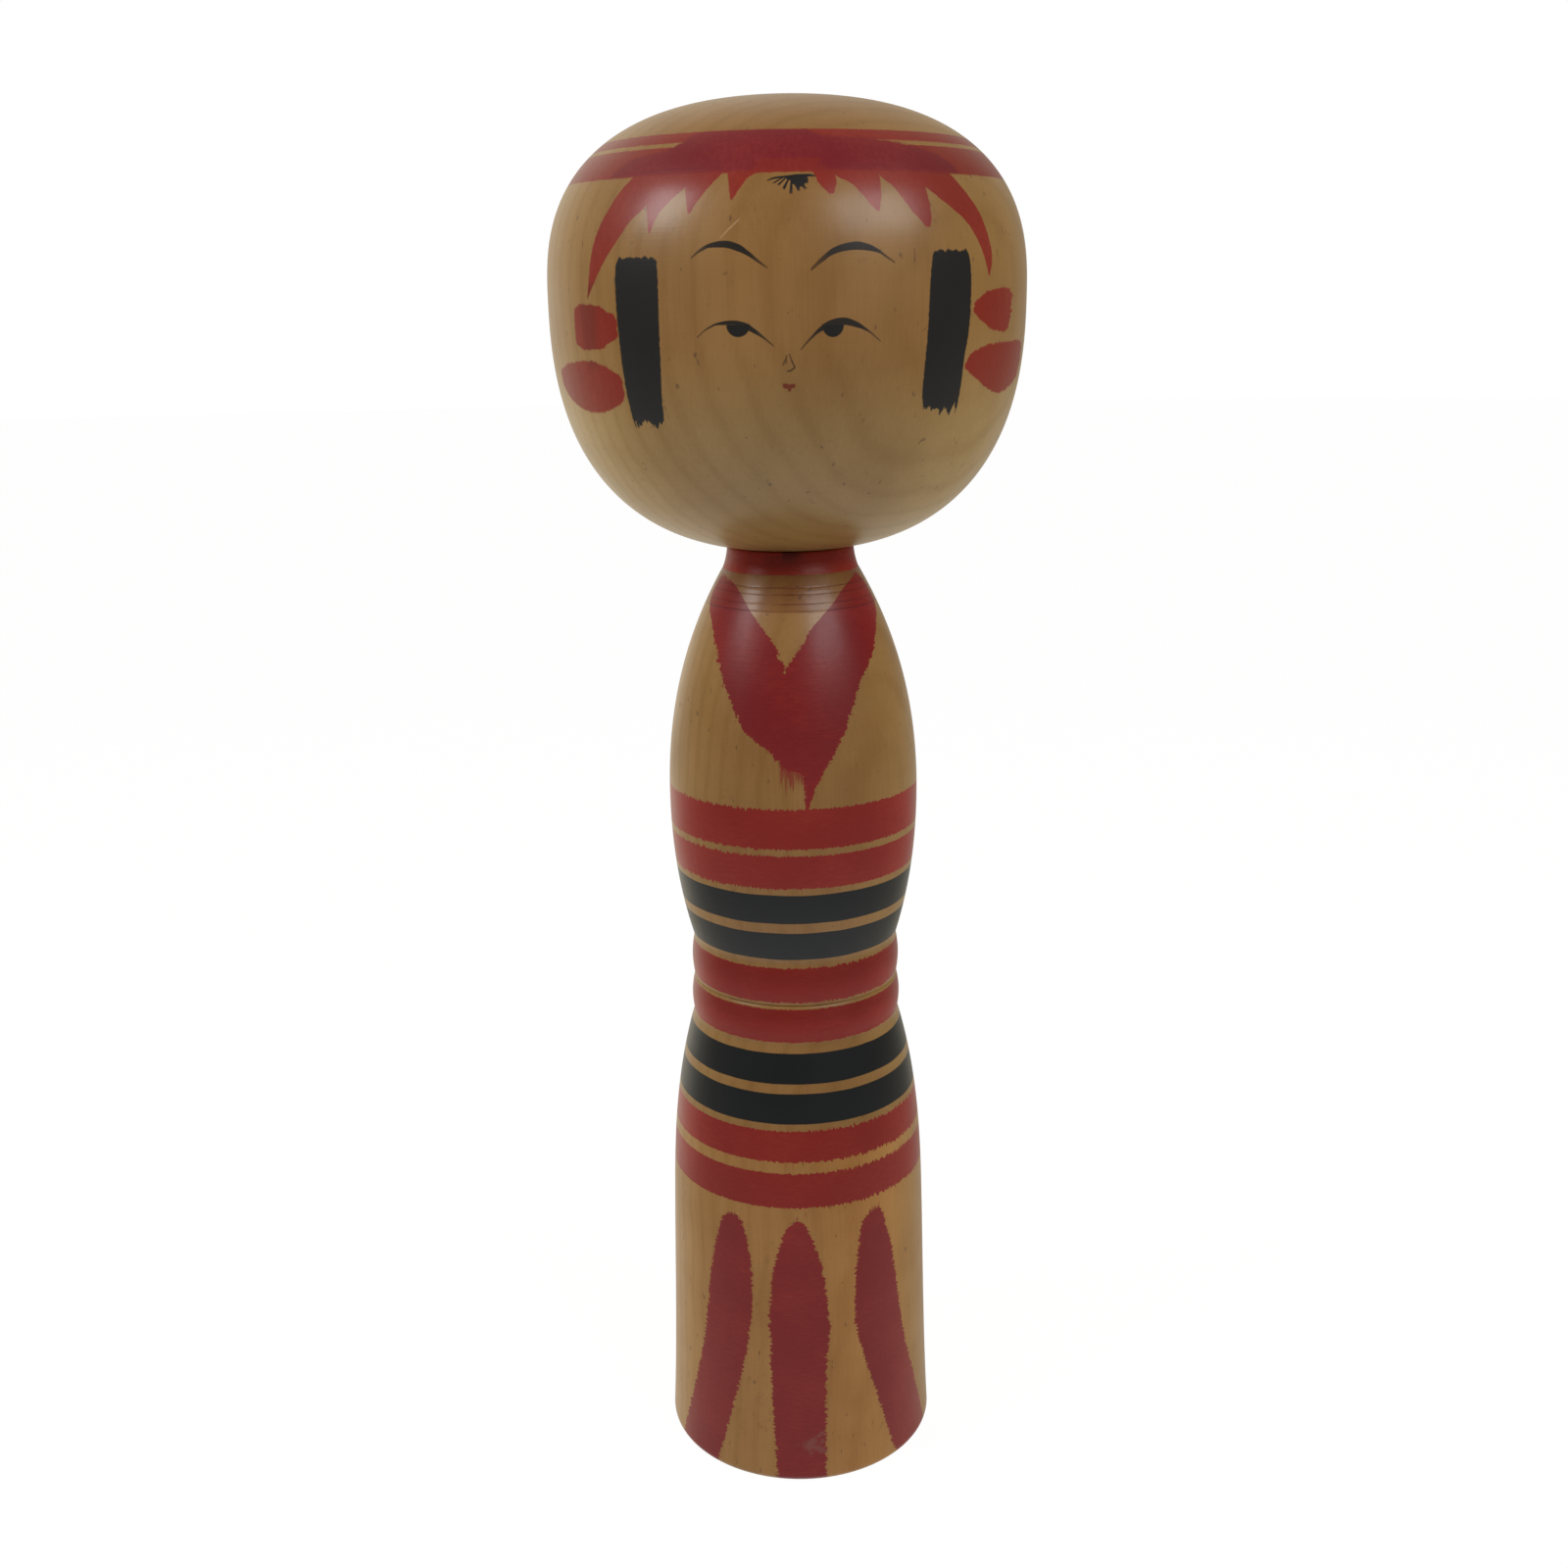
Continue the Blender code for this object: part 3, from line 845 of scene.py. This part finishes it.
def body_outline(size):
    """Outline of the body from the middle of the base to the bottom of the bore."""
    top = size.height - NECK_EDGE
    side = top - size.foot_round
    marks = [level * MM for level in SCRIBED_LINES + (NECK_RING_FOOT,)]
    steps = range(SIDE_STEPS + 1)
    levels = {round(size.foot_round + side * step / SIDE_STEPS, 7) for step in steps}
    roll_top = size.waist_foot + size.roll_height
    for share in (0.0, 0.25, 0.5, 0.75, 1.0):
        levels.add(round(roll_top + size.groove_width * share, 7))
    for level in marks:
        for share in (-1.0, -0.5, 0.0, 0.5, 1.0):
            levels.add(round(level + CUT_WIDTH * share, 7))

    outline = [(0.0, BASE_HOLLOW), (HOLLOW_SHARE * size.base_radius, BASE_HOLLOW)]
    outline.append((REST_SHARE * size.base_radius, 0.0))
    middle = size.base_radius - size.foot_round
    for step in range(11):
        angle = math.radians(-90 + 9 * step)
        across = size.foot_round * math.cos(angle)
        outline.append((middle + across, size.foot_round * (1 + math.sin(angle))))
    for level in sorted(levels)[1:]:
        radius = side_radius(size, level)
        for mark in marks:
            radius -= CUT_DEPTH * max(0.0, 1.0 - abs(level - mark) / CUT_WIDTH)
        outline.append((radius, level))
    for step in range(1, 7):
        angle = math.radians(15 * step)
        inset = NECK_EDGE * (1 - math.cos(angle))
        outline.append((size.neck_radius - inset, top + NECK_EDGE * math.sin(angle)))
    outline.append((size.bore_radius + BORE_MOUTH, size.height))
    outline.append((size.bore_radius, size.height - BORE_MOUTH))
    outline.append((size.bore_radius, size.height - size.bore_depth))
    outline.append((0.0, size.height - size.bore_depth - size.bore_radius * math.tan(DRILL_POINT)))
    return outline


def head_point(size, angle, depth):
    """Radius and height of the head's outline, measured from its widest place."""
    power = 2.0 / size.fullness
    return size.radius * math.cos(angle) ** power, depth * math.sin(angle) ** power


def seat_angle(size):
    """Where the curve of the chin meets the flat under the head."""
    return math.acos((size.seat_radius / size.radius) ** (size.fullness / 2.0))


def widest_height(head, body):
    """Height of the head's widest place above the base."""
    return body.height + head.seat_gap + head_point(head, seat_angle(head), head.drop)[1]


def head_outline(size, body):
    """Outline of the head from the tip of the tenon round the cheek to the crown."""
    seat = body.height + size.seat_gap
    widest = widest_height(size, body)
    tip = seat - size.tenon_length
    outline = [(0.0, tip), (size.tenon_radius - TENON_CHAMFER, tip)]
    outline.append((size.tenon_radius, tip + TENON_CHAMFER))
    outline.append((size.tenon_radius, seat))
    for step in range(CURVE_STEPS):
        radius, below = head_point(size, seat_angle(size) * (1 - step / CURVE_STEPS), size.drop)
        outline.append((radius, widest - below))
    for step in range(CURVE_STEPS):
        radius, above = head_point(size, math.pi / 2 * step / CURVE_STEPS, size.rise)
        outline.append((radius, widest + above))
    outline.append((0.0, widest + size.rise))
    return outline


def circle(work, radius, height, facets):
    """Corners of a circle round the Z axis."""
    corners = []
    for index in range(facets):
        angle = 2 * math.pi * index / facets
        corners.append(work.verts.new((radius * math.cos(angle), radius * math.sin(angle), height)))
    return corners


def turned(name, outline, facets, material):
    """A closed solid turned round the Z axis."""
    mesh = bpy.data.meshes.new(name)
    work = bmesh.new()
    rings = []
    for radius, height in outline:
        if radius == 0.0:
            rings.append([work.verts.new((0.0, 0.0, height))])
            continue
        rings.append(circle(work, radius, height, facets))
    for lower, upper in zip(rings, rings[1:]):
        for index in range(facets):
            after = (index + 1) % facets
            if len(lower) == 1:
                work.faces.new((lower[0], upper[after], upper[index]))
            elif len(upper) == 1:
                work.faces.new((lower[index], lower[after], upper[0]))
            else:
                work.faces.new((lower[index], lower[after], upper[after], upper[index]))
    for face in work.faces:
        face.smooth = True
    bmesh.ops.recalc_face_normals(work, faces=work.faces)
    work.to_mesh(mesh)
    work.free()
    mesh.materials.append(material)
    mesh.set_sharp_from_angle(angle=SHARP_EDGE)
    piece = bpy.data.objects.new(name, mesh)
    bpy.context.scene.collection.objects.link(piece)
    return piece


# ---- Operators and stage -----------------------------------------------------------------------


class KOKESHI_OT_body(bpy.types.Operator):
    """Turn the body on the lathe and paint its collar, rings and hem"""
    bl_idname = "kokeshi.body"
    bl_label = "Body"

    def execute(self, context):
        scene = context.scene
        size = scene.kokeshi_body
        finish = scene.kokeshi_finish
        material = body_material(finish)
        piece = turned("turned_body", body_outline(size), finish.segments, material)
        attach(piece, "doll_body")
        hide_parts("body")
        return {"FINISHED"}


class KOKESHI_OT_head(bpy.types.Operator):
    """Turn the head with its tenon and paint its headband, hair, face and ribbons"""
    bl_idname = "kokeshi.head"
    bl_label = "Head"

    def execute(self, context):
        scene = context.scene
        size = scene.kokeshi_head
        finish = scene.kokeshi_finish
        material = head_material(finish, widest_height(size, scene.kokeshi_body))
        outline = head_outline(size, scene.kokeshi_body)
        piece = turned("turned_head", outline, finish.segments, material)
        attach(piece, "doll_head")
        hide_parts("head")
        return {"FINISHED"}


LIGHT_DISTANCE = 0.9     # of both soft boxes, from the place on the axis that they look at
LIGHT_TARGET = 0.25      # the height of that place
BOX_HEIGHT = 0.34
FLOOR_RADIUS = 6.0
FLOOR_FACETS = 96
FLOOR_LEVEL = -0.2 * MM
CAMERA_SPOT = (-0.00205, -0.3584, 0.2552)
CAMERA_DIP = 15.21       # how far the camera looks down, in degrees
CAMERA_ROLL = -0.8
WHITE = (1.0, 1.0, 1.0)
WARM_WHITE = (1.0, 0.93, 0.78)


def soft_light(name, turn, climb, width, power):
    """A soft box at turn and climb in degrees. turn 0 is in front of the face, + is to the right."""
    light = bpy.data.lights.new(name, "AREA")
    light.shape = "RECTANGLE"
    light.size = width
    light.size_y = BOX_HEIGHT
    light.energy = power
    lamp = bpy.data.objects.new(name, light)
    turn = math.radians(turn)
    climb = math.radians(climb)
    level = math.cos(climb)
    toward = Vector((math.sin(turn) * level, -math.cos(turn) * level, math.sin(climb)))
    lamp.location = Vector((0.0, 0.0, LIGHT_TARGET)) + toward * LIGHT_DISTANCE
    lamp.rotation_euler = toward.to_track_quat("Z", "Y").to_euler()
    bpy.context.scene.collection.objects.link(lamp)


def pale_floor():
    """A wide round floor under the doll."""
    material = bpy.data.materials.new("pale_floor")
    nodes = Nodes(material)
    looks = {"Base Color": (0.06, 0.06, 0.06), "Roughness": 0.9, "Specular IOR Level": 0.0,
             "Emission Color": WHITE, "Emission Strength": 0.975}
    for name, given in looks.items():
        nodes.feed(nodes.shader.inputs[name], given)
    mesh = bpy.data.meshes.new("pale_floor")
    work = bmesh.new()
    work.faces.new(circle(work, FLOOR_RADIUS, 0.0, FLOOR_FACETS))
    work.to_mesh(mesh)
    work.free()
    mesh.materials.append(material)
    floor = bpy.data.objects.new("pale_floor", mesh)
    floor.location = (0.0, 0.0, FLOOR_LEVEL)
    floor.visible_diffuse = False
    floor.visible_glossy = False
    bpy.context.scene.collection.objects.link(floor)


def studio_world():
    """White surroundings for the eye. Their light is full behind the doll and low in front."""
    world = bpy.data.worlds.new("studio")
    bpy.context.scene.world = world
    nodes = Nodes(world, "Background")
    seen = nodes.add("ShaderNodeLightPath")
    direction = nodes.add("ShaderNodeTexCoord")
    side, back, up = nodes.split(direction)
    below = nodes.rise(up, 0.10, -0.40) * 0.20 + nodes.rise(up, -0.4, -1.0) * 0.55
    leftward = nodes.rise(side, 1.0, -0.7) * 0.70 + 0.08
    behind = nodes.rise(back, 0.05, 1.0) * leftward * (nodes.rise(up, -0.65, -0.05) * 0.5 + 0.5)
    warm = nodes.mix(nodes.rise(back, -0.2, 0.6), WHITE, WARM_WHITE)
    nodes.feed(nodes.shader.inputs["Color"], nodes.mix(seen, warm, WHITE))
    nodes.feed(nodes.shader.inputs["Strength"], nodes.most(seen, below + behind + 0.13))


def doll_camera():
    """Camera a little above the neck, close to the doll."""
    lens = bpy.data.cameras.new("camera")
    lens.lens = 38.25
    lens.sensor_width = 36.0
    lens.clip_start = 0.01
    camera = bpy.data.objects.new("camera", lens)
    pitch = Matrix.Rotation(math.radians(90.0 - CAMERA_DIP), 4, "X")
    roll = Matrix.Rotation(math.radians(CAMERA_ROLL), 4, "Z")
    camera.matrix_world = Matrix.Translation(CAMERA_SPOT) @ pitch @ roll
    bpy.context.scene.collection.objects.link(camera)
    bpy.context.scene.camera = camera


class KOKESHI_OT_stage(bpy.types.Operator):
    """Set up the pale floor, the soft lights and the camera"""
    bl_idname = "kokeshi.stage"
    bl_label = "Stage"

    def execute(self, context):
        pale_floor()
        studio_world()
        doll_camera()
        soft_light("left_box", turn=-64.5, climb=34.0, width=0.31, power=2.9)
        soft_light("right_box", turn=45.0, climb=33.0, width=0.56, power=3.2)
        context.scene.view_settings.view_transform = "Standard"
        return {"FINISHED"}


class KOKESHI_PT_panel(bpy.types.Panel):
    """Sizes, finish and pieces of the doll"""
    bl_idname = "KOKESHI_PT_panel"
    bl_label = "Kokeshi Doll"
    bl_space_type = "VIEW_3D"
    bl_region_type = "UI"
    bl_category = "Kokeshi"

    def draw(self, context):
        layout = self.layout
        for name, group in GROUPS:
            box = layout.box()
            box.label(text=group.__doc__)
            for size in group.__annotations__:
                box.prop(getattr(context.scene, name), size)
        for step in STEPS:
            layout.operator(step.bl_idname)


STEPS = (KOKESHI_OT_body, KOKESHI_OT_head, KOKESHI_OT_stage)
GROUPS = (
    ("kokeshi_body", KokeshiBodySizes),
    ("kokeshi_head", KokeshiHeadSizes),
    ("kokeshi_finish", KokeshiFinish),
)


def register():
    for name, group in GROUPS:
        bpy.utils.register_class(group)
        setattr(bpy.types.Scene, name, PointerProperty(type=group))
    for step in STEPS:
        bpy.utils.register_class(step)
    bpy.utils.register_class(KOKESHI_PT_panel)


def unregister():
    bpy.utils.unregister_class(KOKESHI_PT_panel)
    for step in reversed(STEPS):
        bpy.utils.unregister_class(step)
    for name, group in reversed(GROUPS):
        delattr(bpy.types.Scene, name)
        bpy.utils.unregister_class(group)


def main():
    register()
    bpy.ops.kokeshi.stage()
    bpy.ops.kokeshi.body()
    bpy.ops.kokeshi.head()


if __name__ == "__main__":
    main()
